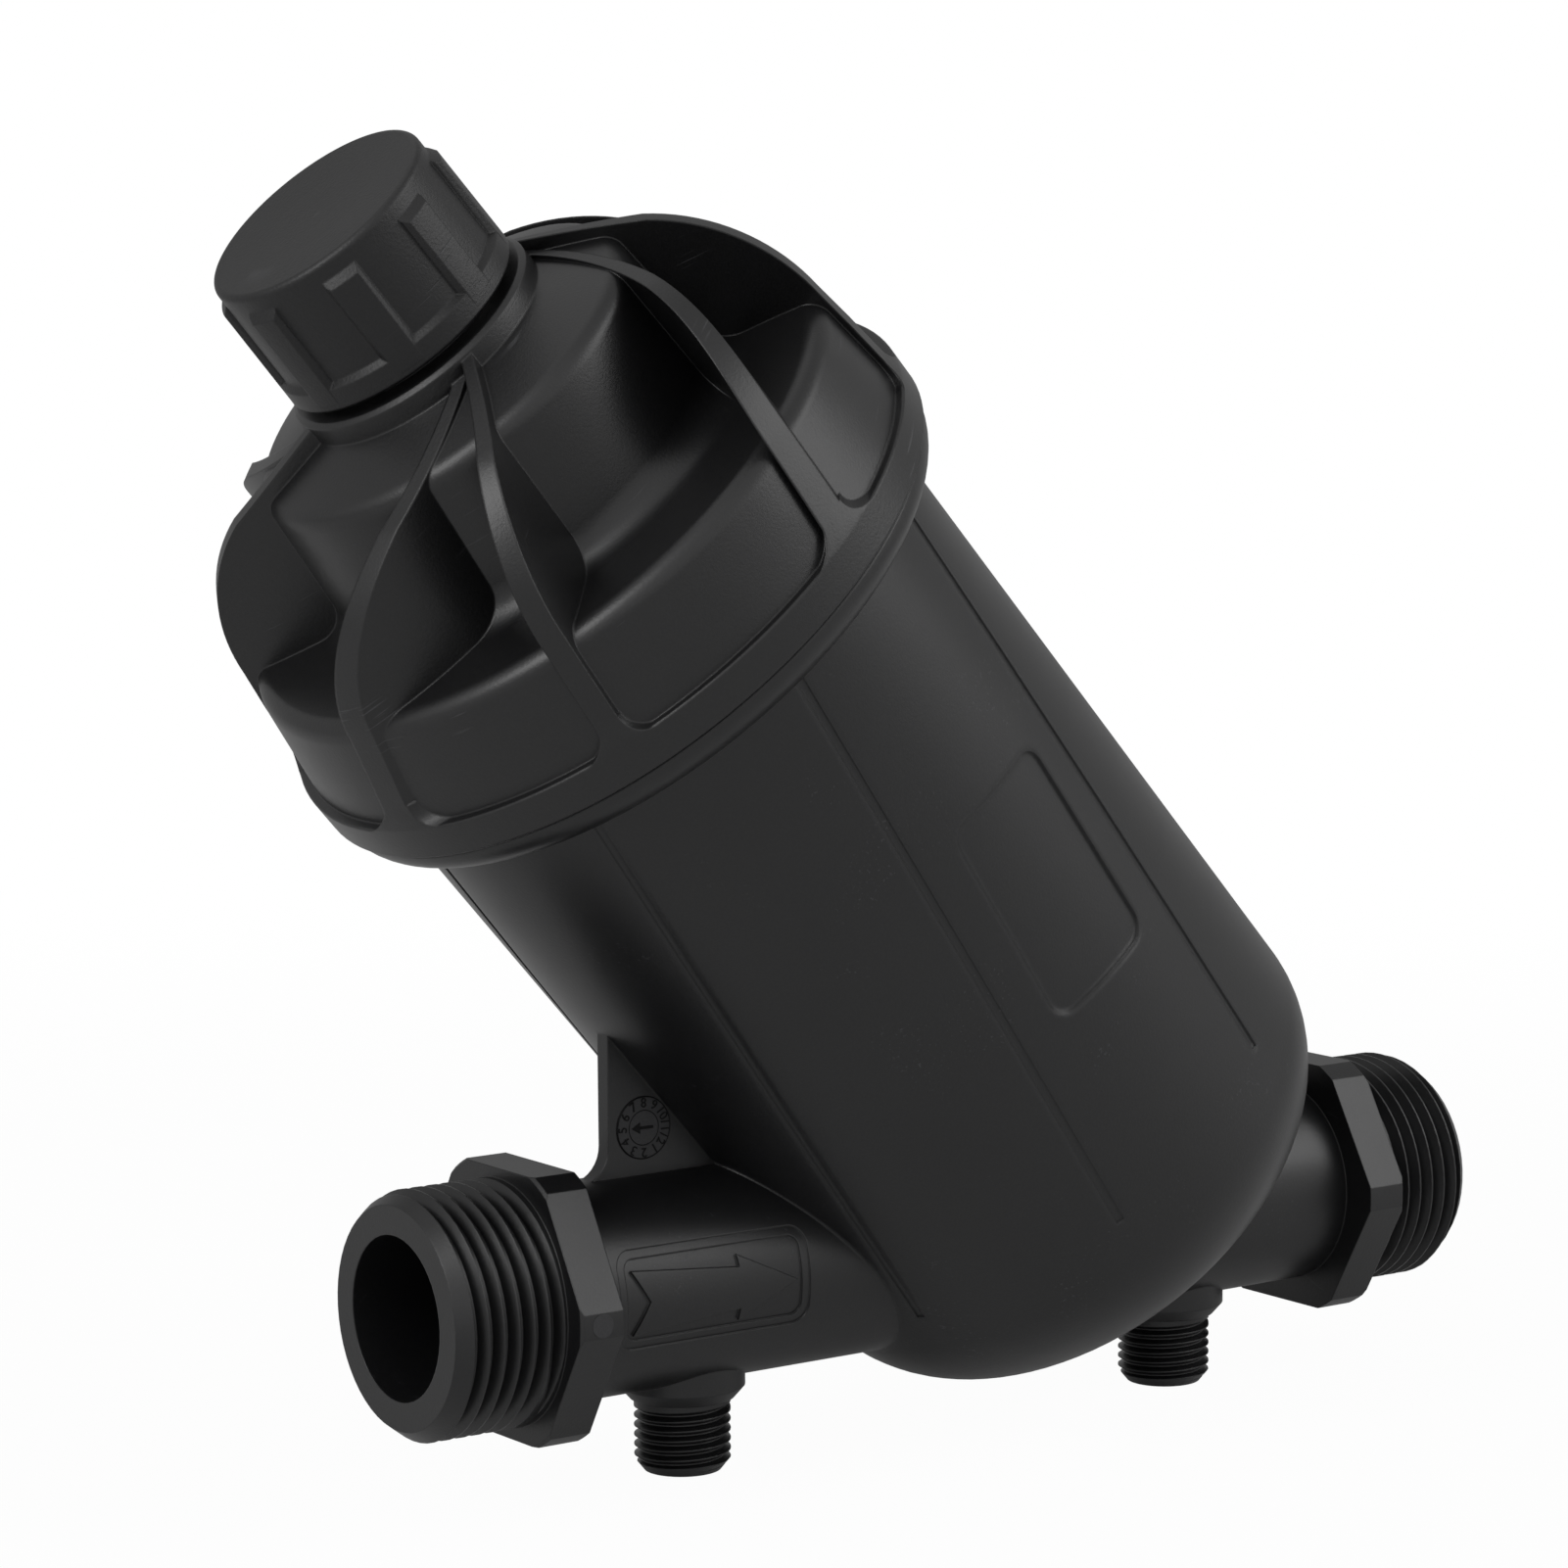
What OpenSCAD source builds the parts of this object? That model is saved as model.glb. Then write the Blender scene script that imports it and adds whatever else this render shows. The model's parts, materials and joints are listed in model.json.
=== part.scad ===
// Irrigation disc filter: threaded inline Y body, screw cover with grip fins,
// flush cap and a cartridge of stacked grooved rings on a slotted spine.
// Millimetres. Origin on the pipe axis at the inlet hexagon, +X along the flow, +Z up.

/* [Pipe] */
// Length over the two threaded ends
pipe_len = 174; // [168:1:190]
// Major diameter of the end threads
end_thread_d = 33.25; // [32:0.05:35]
// Length of each end thread up to the hexagon
end_thread_len = 16; // [14:0.5:19]
// Clear bore of the pipe
bore_d = 22; // [18:0.5:23]
// Outside diameter of the plain pipe
pipe_d = 29.3; // [28.5:0.1:31]
// Hexagon width across flats
hex_af = 36; // [35.5:0.1:39]
// Hexagon thickness
hex_t = 6.5; // [5:0.5:8]

/* [Gauge ports] */
// Distance of each port from the middle of the pipe
port_off = 42.2; // [38:0.2:44]
// Major diameter of the port threads
port_d = 13.157; // [12:0.01:14]
// Depth of the port end below the pipe axis
port_drop = 26.8; // [25:0.2:32]
// Port bore
port_bore_d = 5.5; // [4:0.5:7]

/* [Vessel] */
// Outside radius of the vessel
vessel_r = 41.3; // [40:0.1:44]
// Wall of the vessel
wall = 3.3; // [2.8:0.1:3.8]
// Angle between the vessel axis and the pipe
tilt = 48.4; // [47:0.1:54]
// Distance from the pipe axis to the rim collar along the vessel axis
rim_s = 119.5; // [119:0.5:130]
// Thickness of the gusset web over the inlet
web_t = 2.4; // [2:0.1:4]

/* [Cover] */
// Fin width at the rim
fin_rim_w = 3; // [2.4:0.1:4.4]
// Fin width at the neck
fin_neck_w = 1.5; // [1.2:0.1:2.2]
// How far the flange stands out past the vessel wall
flange_out = 6.9; // [6.5:0.1:8]

/* [Flush cap] */
// Radius over the lower band of the cap
cap_r = 17.2; // [16.6:0.1:18]
// Height of the cap
cap_h = 18.7; // [16.5:0.1:22]
// Depth of the recesses between the grip pads
pad_out = 1; // [0.5:0.1:1.3]
// Number of grip pads
pads = 8; // [6:1:10]

/* [Cartridge] */
// Outside radius of the filter rings
ring_r = 29; // [27:0.5:31]
// Thickness of one filter ring
ring_t = 3.1; // [2.9:0.05:3.15]
// Flow gap between two rings
ring_gap = 0.13; // [0.1:0.01:0.2]

/* [Hidden] */
$fn = 96;
rings = 30;
cross_x = pipe_len - 56;
bore_r = bore_d / 2;
pipe_r = pipe_d / 2;
thread_r = end_thread_d / 2;
port_r = port_d / 2;
mid_x = pipe_len / 2;
hex_c = hex_af / 2 / cos(30);
panel_x = end_thread_len + hex_t + 18.3;
in_r = vessel_r - wall;
knuckle = 18;
crown = 60;
dome_s = 18;
// Gusset web between the inlet pipe and the vessel
web_x = cross_x - 85.4;
web_s = (cross_x - web_x - vessel_r * sin(tilt)) / cos(tilt);
web_top = web_s * sin(tilt) - vessel_r * cos(tilt) + 2.5;
collar_r = vessel_r + 6.2;
// Fine lines down the vessel wall
line_w = 1.2;
line_depth = 0.25;
line_lean = 6.6;
line_s = rim_s - 48.5;
line_len = 94;
// Scale of the cover plan against its drawn radius
k = (vessel_r + flange_out) / 48.2;
cover_r = 48.2 * k;
foot_r = 3.6 * k;
// Centre and radius of the two fin arcs in plan, and how much lower the long fin's crest is
long_fin = [[-19.3 * k, 22.6 * k], 42 * k];
short_fin = [[-73.4 * k, 41.3 * k], 91.4 * k];
long_fin_drop = 1.5;
// Screw fit of the cover on the body mouth
mouth_r = in_r + 4.4;
skirt_r = mouth_r + 0.5;
mouth_s = rim_s + 18;
seal_t = 2;
seal_w = 3.1;
// Positions up the cover
flange_s = rim_s + 4.5;
flange_top = rim_s + 9.6;
shelf_s = rim_s + 24.5;
crease_s = rim_s + 46;
neck_s = rim_s + 49;
// Flush neck and cap
neck_r = cap_r - 3.2;
neck_bore = neck_r - 3;
neck_collar_r = cap_r + 0.9;
cap_s = rim_s + 53.2;
cap_top = cap_s + cap_h;
gasket_t = 1.5;
neck_top = cap_top - 4.4;
cap_in = neck_r + 0.5;
// Seat and cartridge
seat_r = 15;
seat_bore = 10.4;
seat_top = 22;
plug_r = 10;
spine_r = 16.8;
groove_r = plug_r - 1.4;
base_s = 27;
base_t = 4;
stack_s = base_s + base_t;
ring_pitch = ring_t + ring_gap;
stack_top = stack_s + rings * ring_pitch;
plate_t = 4;
plate_s = stack_top;
nut_s = plate_s + plate_t;
nut_h = 8;
nut_r = spine_r + 4.7;
lug_r = nut_r / 7;
spine_top = nut_s + nut_h + 2;

// Points of an arc about (cx, cy), from angle a0 to angle a1
function arc(cx, cy, r, a0, a1, n) =
    [for (i = [0 : n]) [cx + r * cos(a0 + (a1 - a0) * i / n), cy + r * sin(a0 + (a1 - a0) * i / n)]];

// Half profile of the rounded vessel bottom, from the wall to the axis
function dome(r, rk, rc, s0) =
    let (h = sqrt((rc - rk) * (rc - rk) - (r - rk) * (r - rk)))
    let (a = atan2(h, r - rk))
    concat(arc(r - rk, s0, rk, 0, -a, 14), arc(0, s0 + h, rc, -a - (90 - a) / 9, -90, 8));

// Where a fin arc crosses the flange, as an angle about the axis
function foot_at(fin) =
    let (d = norm(fin[0]))
    atan2(fin[0][1], fin[0][0]) + acos((d * d + cover_r * cover_r - fin[1] * fin[1]) / (2 * d * cover_r));

// Moves what is drawn from the inlet face to the part's origin
module placed() {
    translate([-end_thread_len, 0, 0]) children();
}

// Puts a child drawn up +Z onto the vessel axis
module on_axis() {
    translate([cross_x, 0, 0]) rotate([0, tilt - 90, 0]) children();
}

// Cylinder along +X from x0 to x1
module bar(r, x0, x1) {
    translate([x0, 0, 0]) rotate([0, 90, 0]) cylinder(r = r, h = x1 - x0);
}

// Cone along +X
module cone(r0, r1, x0, x1) {
    translate([x0, 0, 0]) rotate([0, 90, 0]) cylinder(r1 = r0, r2 = r1, h = x1 - x0);
}

// Flat ring about +Z
module tube(ro, ri, z0, z1) {
    translate([0, 0, z0])
        difference() {
            cylinder(r = ro, h = z1 - z0);
            translate([0, 0, -1]) cylinder(r = ri, h = z1 - z0 + 2);
        }
}

// Hexagon with flats on top and underneath, its corners turned down
module hex_collar(x0) {
    translate([x0, 0, 0]) rotate([0, 90, 0])
        intersection() {
            rotate([0, 0, 90]) cylinder(r = hex_c, h = hex_t, $fn = 6);
            union() {
                cylinder(r1 = hex_c - 1.3, r2 = hex_c - 0.9, h = 0.4);
                translate([0, 0, 0.4]) cylinder(r = hex_c - 0.9, h = hex_t - 0.4);
            }
        }
}

// Threaded end drawn at the inlet
module pipe_end() {
    cone(thread_r - 1.7, thread_r, 0, 2.3);
    bar(thread_r, 2.3, end_thread_len + 0.5);
    hex_collar(end_thread_len);
}

// Gauge port under the pipe
module port(x) {
    translate([x, 0, -port_drop]) {
        cylinder(r1 = port_r - 1.3, r2 = port_r, h = 1.6);
        translate([0, 0, 1.6]) cylinder(r = port_r, h = port_drop - 5);
        translate([0, 0, 10]) cylinder(r1 = 7.2, r2 = 8.6, h = 1.6);
        translate([0, 0, 11.6]) cylinder(r = 8.6, h = port_drop - 15);
    }
}

// Outside of the vessel with its rim collar and mouth, drawn up +Z
module vessel_out() {
    rotate_extrude()
        polygon(concat([[0, mouth_s], [mouth_r - 1, mouth_s], [mouth_r, mouth_s - 1],
            [mouth_r, rim_s + 4.2], [collar_r - 0.2, rim_s + 4.2]],
            arc(collar_r - 4.7, rim_s + 3.9, 4.7, 0, -90, 12),
            [[vessel_r + 0.4, rim_s - 1], [vessel_r, rim_s - 1.5]],
            dome(vessel_r, knuckle, crown, dome_s)));
}

// Fine leaning line down the vessel wall at direction a, drawn up +Z
module vessel_line(a) {
    difference() {
        rotate([0, 0, a]) translate([vessel_r, 0, line_s]) rotate([-line_lean, 0, 0])
            cube([2, line_w, line_len], center = true);
        cylinder(r = vessel_r - line_depth, h = rim_s);
    }
}

// Water space of the vessel, drawn up +Z
module vessel_in() {
    rotate_extrude()
        polygon(concat([[0, mouth_s + 5], [in_r, mouth_s + 5]],
            dome(in_r, knuckle - wall, crown - wall, dome_s)));
}

// Plan prism on the near side of the inlet pipe
module on_pipe(dz) {
    translate([panel_x, -pipe_r + 3, dz]) rotate([90, 0, 0]) linear_extrude(height = 6) children();
}

// Shallow stepped recess for the flow mark on the inlet pipe
module flow_panel() {
    difference() {
        on_pipe(1) rounded(30.4, 13.2, 2.5);
        bar(pipe_r - 0.25, 10, cross_x);
    }
    difference() {
        on_pipe(1) rounded(28, 10.8, 1.6);
        bar(pipe_r - 0.55, 10, cross_x);
    }
}

// Raised arrow in the recess, pointing along the flow
module flow_arrow() {
    intersection() {
        on_pipe(0.6)
            polygon([[-13, 4.3], [4, 2.8], [3.8, 4.4], [13.2, 0], [3.8, -4.4], [4, -2.8], [-13, -4.3],
                [-10.4, 0]]);
        bar(pipe_r - 0.15, 10, cross_x);
    }
}

// Rounded rectangle about the origin
module rounded(w, h, r) {
    square([w - 2 * r, h], center = true);
    square([w, h - 2 * r], center = true);
    for (x = [-1, 1], y = [-1, 1])
        translate([x * (w / 2 - r), y * (h / 2 - r)]) circle(r);
}

// Shallow plate recess on the near side of the vessel, drawn up +Z
module plate_panel() {
    difference() {
        rotate([0, 0, 8]) translate([0, -vessel_r + 4, 68.6]) rotate([90, 0, 0])
            rotate([0, 0, -7]) linear_extrude(height = 8) rounded(19, 32, 3);
        cylinder(r = vessel_r - 0.45, h = rim_s);
    }
}

// Pressure body with pipe, ports, vessel and cartridge seat
module housing() {
    color([0.03, 0.03, 0.033])
    placed()
    difference() {
        union() {
            difference() {
                union() {
                    bar(pipe_r, 5, pipe_len - 5);
                    pipe_end();
                    translate([pipe_len, 0, 0]) mirror([1, 0, 0]) pipe_end();
                    port(mid_x - port_off);
                    port(mid_x + port_off);
                    on_axis() difference() {
                        vessel_out();
                        for (a = [0 : 45 : 315]) vessel_line(a - 104.7);
                    }
                    translate([0, web_t / 2, 0]) rotate([90, 0, 0]) linear_extrude(height = web_t)
                        polygon(concat([[web_x - 4.2, 11], [web_x - 4.2, pipe_r - 0.4]],
                            arc(web_x - 4.6, pipe_r + 4.2, 4.6, -85, 0, 8),
                            [[web_x, web_top], [web_x + 3, web_top], [web_x + 24, 11]]));
                }
                on_axis() vessel_in();
                bar(bore_r, -1, cross_x - 24);
                flow_panel();
                on_axis() plate_panel();
            }
            on_axis()
                intersection() {
                    translate([0, 0, -12]) cylinder(r = seat_r, h = seat_top + 12);
                    vessel_out();
                }
            bar(pipe_r, cross_x, pipe_len - 10);
            flow_arrow();
        }
        bar(bore_r, cross_x - 6, pipe_len + 1);
        on_axis() translate([0, 0, -2]) cylinder(r = seat_bore, h = seat_top + 3);
        for (x = [mid_x - port_off, mid_x + port_off])
            translate([x, 0, -port_drop - 1]) cylinder(d = port_bore_d, h = port_drop);
    }
}

// Wedge of the plan between two directions
module wedge(a0, a1) {
    polygon([[0, 0], for (i = [0 : 3]) 95 * [cos(a0 + (a1 - a0) * i / 3), sin(a0 + (a1 - a0) * i / 3)]]);
}

// Four curved fins, each the space between two shifted circles in plan, with their rounded feet
module fins(fin, t, w, a0, a1) {
    for (a = [0 : 90 : 270])
        rotate([0, 0, a]) {
            translate([0, 0, flange_s + 1]) linear_extrude(height = 50)
                intersection() {
                    difference() {
                        translate(fin[0] + w / 2) circle(fin[1] + t / 2, $fn = 180);
                        translate(fin[0] - w / 2) circle(fin[1] - t / 2, $fn = 180);
                    }
                    wedge(a0, a1);
                }
            foot_corner(fin, -1);
            foot_corner(fin, 1);
        }
}

// Outside limit of the fins, with the crest lowered by drop
module fin_limit(drop) {
    rotate_extrude()
        polygon(concat([[0, flange_s + 1], [cover_r, flange_s + 1], [cover_r, flange_top],
            [47.5 * k, flange_top + 2.4], [46.6 * k, rim_s + 19 - drop]],
            arc(19.8 * k, rim_s + 22.3 - drop, 26 * k, 6, 60, 18),
            [[18 * k, neck_s + 2 - drop], [0, neck_s + 2 - drop]]));
}

// Stepped bell of the cover without fins
module bell() {
    rotate_extrude()
        polygon(concat([[0, flange_s], [cover_r - 0.25, flange_s], [cover_r, flange_s + 0.25],
            [cover_r, flange_top - 0.2], [cover_r - 0.2, flange_top], [46.9 * k, flange_top]],
            arc(42.4 * k, shelf_s - 2.8, 2.8 * k, 8, 90, 10),
            arc(34.2 * k, shelf_s + 4.6, 4.6 * k, 270, 184, 12),
            arc(25.6 * k, crease_s - 3, 2.8 * k, 2, 72, 8),
            [[cap_r, neck_s], [0, neck_s]]));
    tube(neck_collar_r, neck_bore, neck_s - 1.2, neck_s + 2.4);
    translate([0, 0, neck_s + 2.4]) cylinder(r1 = neck_collar_r, r2 = neck_collar_r - 0.7, h = 0.5);
}

// Rounded corner between the flange and one side of a fin foot
module foot_corner(fin, side) {
    a = foot_at(fin);
    p = cover_r * [cos(a), sin(a)];
    along = atan2(p[1] - fin[0][1], p[0] - fin[0][0]) - 90;
    translate([p[0], p[1], flange_top - 0.2]) rotate([0, 0, along]) translate([-9, side * fin_rim_w / 2, 0])
        rotate([0, 90, 0]) linear_extrude(height = 15)
            difference() {
                translate([-foot_r, side > 0 ? -0.6 : -foot_r]) square([foot_r + 0.1, foot_r + 0.6]);
                translate([-foot_r, side * foot_r]) circle(foot_r);
            }
}

// Screw cover with grip fins and flush neck
module cover() {
    dw = fin_rim_w - fin_neck_w;
    color([0.035, 0.035, 0.038])
    placed() on_axis()
    difference() {
        union() {
            bell();
            intersection() {
                fins(long_fin, fin_rim_w - 0.79 * dw, 1.007 * dw * [-0.985, -0.174], -192, -92);
                fin_limit(long_fin_drop);
            }
            intersection() {
                fins(short_fin, fin_neck_w, 2.8 * dw * [-0.643, -0.766], -150, -92);
                fin_limit(0);
            }
            translate([0, 0, neck_s - 1]) cylinder(r = neck_r, h = neck_top - neck_s + 1);
        }
        translate([0, 0, flange_s - 1]) cylinder(r = skirt_r, h = mouth_s + seal_t - flange_s + 1);
        translate([0, 0, mouth_s]) cylinder(r1 = 37 * k, r2 = 25.4 * k, h = 9);
        translate([0, 0, mouth_s + 8.9]) cylinder(r = 25.4 * k, h = crease_s - 4.5 - mouth_s - 8.9);
        translate([0, 0, crease_s - 6]) cylinder(r = neck_bore, h = 60);
    }
}

// Flat seal on top of the body mouth
module cover_seal() {
    color([0.06, 0.06, 0.065])
    placed() on_axis() tube(mouth_r - 0.3, mouth_r - 0.3 - seal_w, mouth_s, mouth_s + seal_t);
}

// Flush cap with grip pads
module flush_cap() {
    step = 360 / pads;
    color([0.035, 0.035, 0.038])
    placed() on_axis()
    difference() {
        union() {
            rotate_extrude()
                polygon(concat([[0, cap_s], [cap_r - 0.4, cap_s], [cap_r, cap_s + 0.4],
                    [cap_r - 0.1, cap_s + 3.2], [cap_r - pad_out, cap_s + 3.9]],
                    arc(cap_r - pad_out - 1.1, cap_top - 0.9, 0.9, 0, 88, 8),
                    [[cap_r * 0.7, cap_top - 0.1], [cap_r * 0.45, cap_top - 0.25],
                    [cap_r * 0.2, cap_top - 0.34], [0, cap_top - 0.37]]));
            for (i = [0 : pads - 1]) rotate([0, 0, -76.25 + i * step]) pad(step);
        }
        translate([0, 0, cap_s - 1]) cylinder(r = cap_in, h = neck_top + gasket_t - cap_s + 1);
    }
}

// One grip pad with sloped sides and top
module pad(step) {
    intersection() {
        rotate_extrude()
            polygon([[10, cap_s + 1], [cap_r, cap_s + 1], [cap_r - 0.2, cap_top - 3.6],
                [cap_r - pad_out - 0.4, cap_top - 2.2], [10, cap_top - 2.2]]);
        translate([0, 0, cap_s + 1]) linear_extrude(height = cap_h)
            polygon([[0, -step / 360 * 12], [cap_r - pad_out, -step / 360 * 20],
                [cap_r + 0.6, -step / 360 * 11.5], [cap_r + 0.6, step / 360 * 11.5],
                [cap_r - pad_out, step / 360 * 20], [0, step / 360 * 12]]);
    }
}

// Flat gasket between neck and cap
module cap_gasket() {
    color([0.06, 0.06, 0.065])
    placed() on_axis() tube(neck_r, neck_bore, neck_top, neck_top + gasket_t);
}

// Slotted core of the cartridge with its plug in the seat
module spine() {
    color([0.12, 0.12, 0.13])
    placed() on_axis()
    difference() {
        union() {
            translate([0, 0, 8]) cylinder(r = plug_r, h = base_s - 8 + 1);
            translate([0, 0, base_s]) cylinder(r = ring_r + 1, h = base_t);
            translate([0, 0, stack_s - 1]) cylinder(r = spine_r, h = spine_top - stack_s + 1);
        }
        translate([0, 0, 7]) cylinder(r = 7.2, h = base_s - 4);
        translate([0, 0, base_s + 2]) cylinder(r = 13, h = spine_top - base_s - 5);
        difference() {
            translate([0, 0, 13.5]) cylinder(r = plug_r + 1, h = 3);
            cylinder(r = groove_r, h = 40);
        }
        for (a = [0 : 60 : 120], z = [0 : 2])
            rotate([0, 0, a])
                translate([-2.6, -30, stack_s + 3 + z * (stack_top - stack_s) / 3])
                    cube([5.2, 60, (stack_top - stack_s) / 3 - 6]);
    }
}

// Ring seal in the groove of the plug
module spine_seal() {
    color([0.06, 0.06, 0.065])
    placed() on_axis() tube(seat_bore, groove_r, 13.7, 16.3);
}

// Plate that presses the stack together
module clamp_plate() {
    color([0.12, 0.12, 0.13])
    placed() on_axis() tube(ring_r + 1, spine_r + 0.4, plate_s, plate_s + plate_t);
}

// Nut at the top of the spine
module lock_nut() {
    color([0.12, 0.12, 0.13])
    placed() on_axis()
    difference() {
        union() {
            translate([0, 0, nut_s]) cylinder(r = nut_r, h = nut_h);
            for (a = [0 : 60 : 300])
                rotate([0, 0, a]) translate([nut_r - 1, 0, nut_s]) cylinder(r = lug_r, h = nut_h);
        }
        translate([0, 0, nut_s - 1]) cylinder(r = spine_r + 0.4, h = nut_h + 2);
    }
}

// One grooved filter ring, counted from the base
module ring(n) {
    s = stack_s + (n - 1) * ring_pitch;
    color(n % 2 == 0 ? [0.45, 0.06, 0.05] : [0.42, 0.055, 0.045])
    placed() on_axis() tube(ring_r, spine_r + 0.4, s, s + ring_t);
}

housing();
cover();
cover_seal();
flush_cap();
cap_gasket();
spine();
spine_seal();
clamp_plate();
lock_nut();
ring(1);  // ring_01
ring(2);  // ring_02
ring(3);  // ring_03
ring(4);  // ring_04
ring(5);  // ring_05
ring(6);  // ring_06
ring(7);  // ring_07
ring(8);  // ring_08
ring(9);  // ring_09
ring(10);  // ring_10
ring(11);  // ring_11
ring(12);  // ring_12
ring(13);  // ring_13
ring(14);  // ring_14
ring(15);  // ring_15
ring(16);  // ring_16
ring(17);  // ring_17
ring(18);  // ring_18
ring(19);  // ring_19
ring(20);  // ring_20
ring(21);  // ring_21
ring(22);  // ring_22
ring(23);  // ring_23
ring(24);  // ring_24
ring(25);  // ring_25
ring(26);  // ring_26
ring(27);  // ring_27
ring(28);  // ring_28
ring(29);  // ring_29
ring(30);  // ring_30
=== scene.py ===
"""Irrigation disc filter: moulded black finishes, cut threads, surface marks and a white studio."""
import json
from math import cos, pi, radians, sin, tau

import bpy
from mathutils import Matrix, Vector


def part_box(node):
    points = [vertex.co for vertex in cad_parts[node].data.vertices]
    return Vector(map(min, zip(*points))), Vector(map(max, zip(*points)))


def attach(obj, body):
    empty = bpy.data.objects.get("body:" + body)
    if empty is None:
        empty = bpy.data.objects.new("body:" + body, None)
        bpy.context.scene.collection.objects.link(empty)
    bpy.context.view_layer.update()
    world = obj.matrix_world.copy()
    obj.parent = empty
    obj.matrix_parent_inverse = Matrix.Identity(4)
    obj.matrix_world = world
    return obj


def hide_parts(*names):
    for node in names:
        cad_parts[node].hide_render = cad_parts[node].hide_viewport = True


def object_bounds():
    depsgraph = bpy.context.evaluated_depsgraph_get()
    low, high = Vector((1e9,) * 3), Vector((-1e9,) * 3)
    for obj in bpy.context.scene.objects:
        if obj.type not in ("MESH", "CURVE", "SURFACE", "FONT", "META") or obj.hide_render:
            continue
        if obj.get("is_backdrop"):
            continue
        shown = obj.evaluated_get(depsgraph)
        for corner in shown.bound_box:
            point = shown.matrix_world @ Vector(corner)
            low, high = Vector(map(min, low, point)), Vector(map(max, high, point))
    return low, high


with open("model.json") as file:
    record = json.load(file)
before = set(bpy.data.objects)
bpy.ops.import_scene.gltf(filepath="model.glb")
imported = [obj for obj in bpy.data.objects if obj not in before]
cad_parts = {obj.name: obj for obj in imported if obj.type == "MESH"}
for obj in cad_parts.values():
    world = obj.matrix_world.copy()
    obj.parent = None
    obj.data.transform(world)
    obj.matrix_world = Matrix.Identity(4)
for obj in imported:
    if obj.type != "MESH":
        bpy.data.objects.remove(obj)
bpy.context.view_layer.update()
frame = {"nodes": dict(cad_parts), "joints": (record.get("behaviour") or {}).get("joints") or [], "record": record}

bl_info = {
    "name": "Irrigation Disc Filter",
    "version": (1, 0, 0),
    "blender": (4, 5, 0),
    "location": "View3D > Sidebar > Disc Filter",
    "description": "Dresses the packed disc filter with threads, marks, finishes and a studio",
    "category": "Object",
}

MM = 0.001
NODES = frame["nodes"]

# The vessel's axis is the one that the cover turns about, and it crosses the pipe's axis
COVER_TURN = next(joint for joint in frame["joints"] if joint["name"] == "cover_turn")
VESSEL_AXIS = Vector(COVER_TURN["axis"]).normalized()
VESSEL_TURN = Vector((0, 0, 1)).rotation_difference(VESSEL_AXIS).to_matrix().to_4x4()
CROSSING = Vector((COVER_TURN["pos_m"][0] - VESSEL_AXIS.x * COVER_TURN["pos_m"][2] / VESSEL_AXIS.z, 0, 0))

# Radii between which the outside of the vessel's wall lies
VESSEL_WALL = (40.7 * MM, 41.4 * MM)

# The pipe and its gauge ports; a half turn takes the inlet's end to the outlet's
PIPE_AXIS = Vector((1, 0, 0))
PORT_AXIS = Vector((0, 0, 1))
MOUNTS = {mount["name"]: Vector(mount["pos_m"]) for mount in frame["record"]["mounts"]}
PORTS = (MOUNTS["gauge_port_inlet"], MOUNTS["gauge_port_outlet"])
PORT_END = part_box("housing")[0][2]
BOTH_ENDS = MOUNTS["inlet_thread"] + MOUNTS["outlet_thread"]
OUTLET_TURN = Matrix.Translation(BOTH_ENDS) @ Matrix.Rotation(pi, 4, "Z")

# Thread cutters: their section, how far it stands out, the run-out at both ends and the steps to a turn
SECTION_POINTS = 4
PROUD = 0.12 * MM
RUN_OUT = 6
RUN_OUT_LIFT = 1.15
END_STEPS = 56
PORT_STEPS = 36

# Limits for welding points and for telling round walls and smooth joins, and a face's least weight
WELD = 0.000004
CUTTER_WELD = 0.000001
ROUND_SLACK = 0.00001
ROUND_FACING = 0.95
SMOOTH_UNDER = cos(radians(22.0))
TINY_AREA = 1e-12

# Slots of the body's materials
THREAD_SLOT = 1
WALL_SLOT = 2

# Moulded plastic: waves to the metre of each pattern, where it fades in, and the grain's height
CLOUD_SCALE = 45.0
SPECK_SCALE = 2600.0
HAIR_SCALE = 2200.0
PATCH_SCALE = 70.0
SPECK_FADE = (0.35, 0.75)
HAIR_FADE = (0.63, 0.71)
PATCH_FADE = (0.55, 0.72)
GRAIN_HEIGHT = 0.12 * MM

# Brightness of dark, pale and scuffed plastic against its own colour
DARK = 0.75
PALE = 1.9
SCUFFED = 9.0

# Turn and stretch of the scuffs: across the body, and around the cover and cap
BODY_LAY = (0.4, 0.7, 0.3)
BODY_STRETCH = (1, 20, 1)
ROUND_LAY = VESSEL_TURN.to_euler()
ROUND_STRETCH = (30, 30, 1)

# Rubber: waves to the metre of its bloom and its grain, and the grain's height
BLOOM_SCALE = 220.0
RUBBER_SCALE = 1500.0
RUBBER_HEIGHT = 0.1 * MM

# Mould marks: the ejector disc's place, the month on top of the dial and the sides of a round
EJECTOR_PLACE = Vector((3.25, -19.88, 0.0)) * MM
MONTH_ON_TOP = 8
ROUND_SIDES = 64

# Shares of the dial's radius, of the arrow's reach or of the raised line's height
INNER_RIM = 0.56
INNER_LINE = 0.8
FIGURE_RING = 0.79
ARROW_REACH = 0.36
ARROW_LINES = 4
SHAFT_PLACE = 0.25
SHAFT_LENGTH = 1.5
HEAD_PLACE = 0.7
HEAD_RADIUS = 0.6
MARK_BEVEL = 0.4
EJECTOR_LINE = 0.5

# Brightness of the marks against the body's colour: the pale dial plate and ejector disc are painted light, and
# the dark figures and arrow are painted shade, standing in for the light and shade on their low relief
PAINTED_LIGHT_MARK = 3.0
PAINTED_SHADE_MARK = 0.5

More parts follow.
